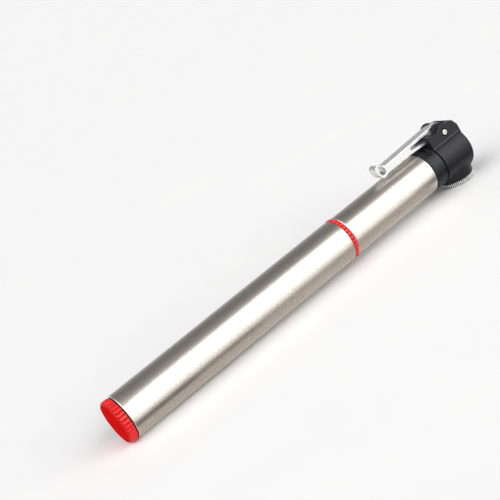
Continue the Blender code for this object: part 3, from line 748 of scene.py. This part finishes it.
def on_floor(name, x0, x1, y0, y1, lift=0.0):
    """A sheet that lies on the floor."""
    xs = [x0] + ([-0.002] if x0 < -0.002 < x1 else []) + [x1]
    mesh = bpy.data.meshes.new(name)
    mesh.from_pydata([(x, y, floor_z(x) + lift) for x in xs for y in (y0, y1)], [], [(2 * i, 2 * i + 2, 2 * i + 3, 2 * i + 1) for i in range(len(xs) - 1)])
    made = bpy.data.objects.new(name, mesh)
    bpy.context.scene.collection.objects.link(made)
    return made


floor = on_floor("floor", -30.0, 30.0, -30.0, 30.0)
paper = Finish("pale_paper", (0.86, 0.86, 0.86), 0.0, 0.9, specular=0.2)
paper.set("Base Color", paper.blend(paper.ranged(paper.noise(60.0, detail=3), 0.3, 0.7, 0, 1), (0.855, 0.855, 0.86), (0.875, 0.873, 0.87)))
floor.data.materials.append(paper.material)


def soft_sun(name, direction, spread, irradiance, color=(1, 1, 1)):
    """A distant round softbox: an even disc of light spread degrees across."""
    light = bpy.data.lights.new(name, "SUN")
    light.angle = math.radians(spread)
    light.energy = irradiance
    light.color = color
    made = bpy.data.objects.new(name, light)
    made.rotation_mode = "QUATERNION"
    made.rotation_quaternion = Vector(direction).normalized().to_track_quat("Z", "Y")
    bpy.context.scene.collection.objects.link(made)
    return made


soft_sun("front_softbox", (0.385, -0.785, 0.50), 54, 2.45)
soft_sun("light_over_cap_end", (-0.62, -0.12, 0.78), 60, 2.0)

def card(name, x0, y0, x1, y1, near, far, glow=0.0, lift=0.0002):
    """A card on the floor that only reflections see. Its tone runs from near (at y0) to far (at y1)."""
    made = on_floor(name, x0, x1, y0, y1, lift)
    finish = Finish(name, (near, near * 0.95, near * 0.9), 0.0, 0.9, specular=0.0)
    split = finish.put("ShaderNodeSeparateXYZ")
    finish.wire(finish.coords, split.inputs[0])
    finish.set("Base Color", finish.blend(finish.ranged(split.outputs["Y"], y0, y1, 0, 1), finish.color, (far, far * 0.95, far * 0.9)))
    if glow:
        finish.shader.inputs["Emission Color"].default_value = (1.0, 0.985, 0.95, 1.0)
        finish.shader.inputs["Emission Strength"].default_value = glow
    made.data.materials.append(finish.material)
    made.visible_camera = made.visible_diffuse = made.visible_shadow = made.visible_transmission = False


card("grey_card_in_front", -0.13, -0.031, 0.20, -0.006, 0.12, 0.62)
card("dark_card_by_cap", -0.02, -0.031, 0.042, -0.0165, 0.02, 0.03, lift=0.0004)
card("dark_card_past_cap", 0.042, -0.030, 0.082, -0.0175, 0.07, 0.14, lift=0.0004)
card("grey_card_before_head", 0.20, -0.040, 0.245, -0.0165, 0.06, 0.06)
card("white_card_in_front", -0.20, -0.22, 0.34, -0.044, 0.5, 0.5, glow=0.72)

world = bpy.data.worlds.new("studio")
bpy.context.scene.world = world
world.use_nodes = True
tree = world.node_tree
coords = tree.nodes.new("ShaderNodeTexCoord")
split = tree.nodes.new("ShaderNodeSeparateXYZ")
ramp = tree.nodes.new("ShaderNodeValToRGB")
tones = [(0.0, (0.70, 0.70, 0.71)), (0.15, (0.53, 0.53, 0.54)), (0.35, (0.36, 0.36, 0.37)), (0.6, (0.165, 0.16, 0.156)), (1.0, (0.125, 0.12, 0.116))]
while len(ramp.color_ramp.elements) < len(tones):
    ramp.color_ramp.elements.new(0.5)
for element, (position, tone) in zip(ramp.color_ramp.elements, tones):
    element.position, element.color = position, (*tone, 1)
tree.links.new(coords.outputs["Generated"], split.inputs[0])
tree.links.new(split.outputs["Z"], ramp.inputs[0])
tree.links.new(ramp.outputs[0], tree.nodes["Background"].inputs["Color"])
tree.nodes["Background"].inputs["Strength"].default_value = 1.0

scene = bpy.context.scene
scene.view_settings.view_transform = "Standard"
scene.view_settings.look = "None"

camera = bpy.data.objects.new("camera", bpy.data.cameras.new("camera"))
scene.collection.objects.link(camera)
camera.data.lens, camera.data.sensor_width = 77.16, 36.0
camera.data.clip_start, camera.data.clip_end = 0.01, 100.0
right = Vector((0.72651816, -0.50699939, -0.46381351))
up = Vector((0.57018454, 0.06810781, 0.81868854))
ahead = Vector((0.38348527, 0.85925138, -0.33856478))
place = Vector((-0.09105, -0.41663, 0.18870))
camera.matrix_world = Matrix(((right.x, up.x, -ahead.x, place.x), (right.y, up.y, -ahead.y, place.y), (right.z, up.z, -ahead.z, place.z), (0, 0, 0, 1)))
scene.camera = camera
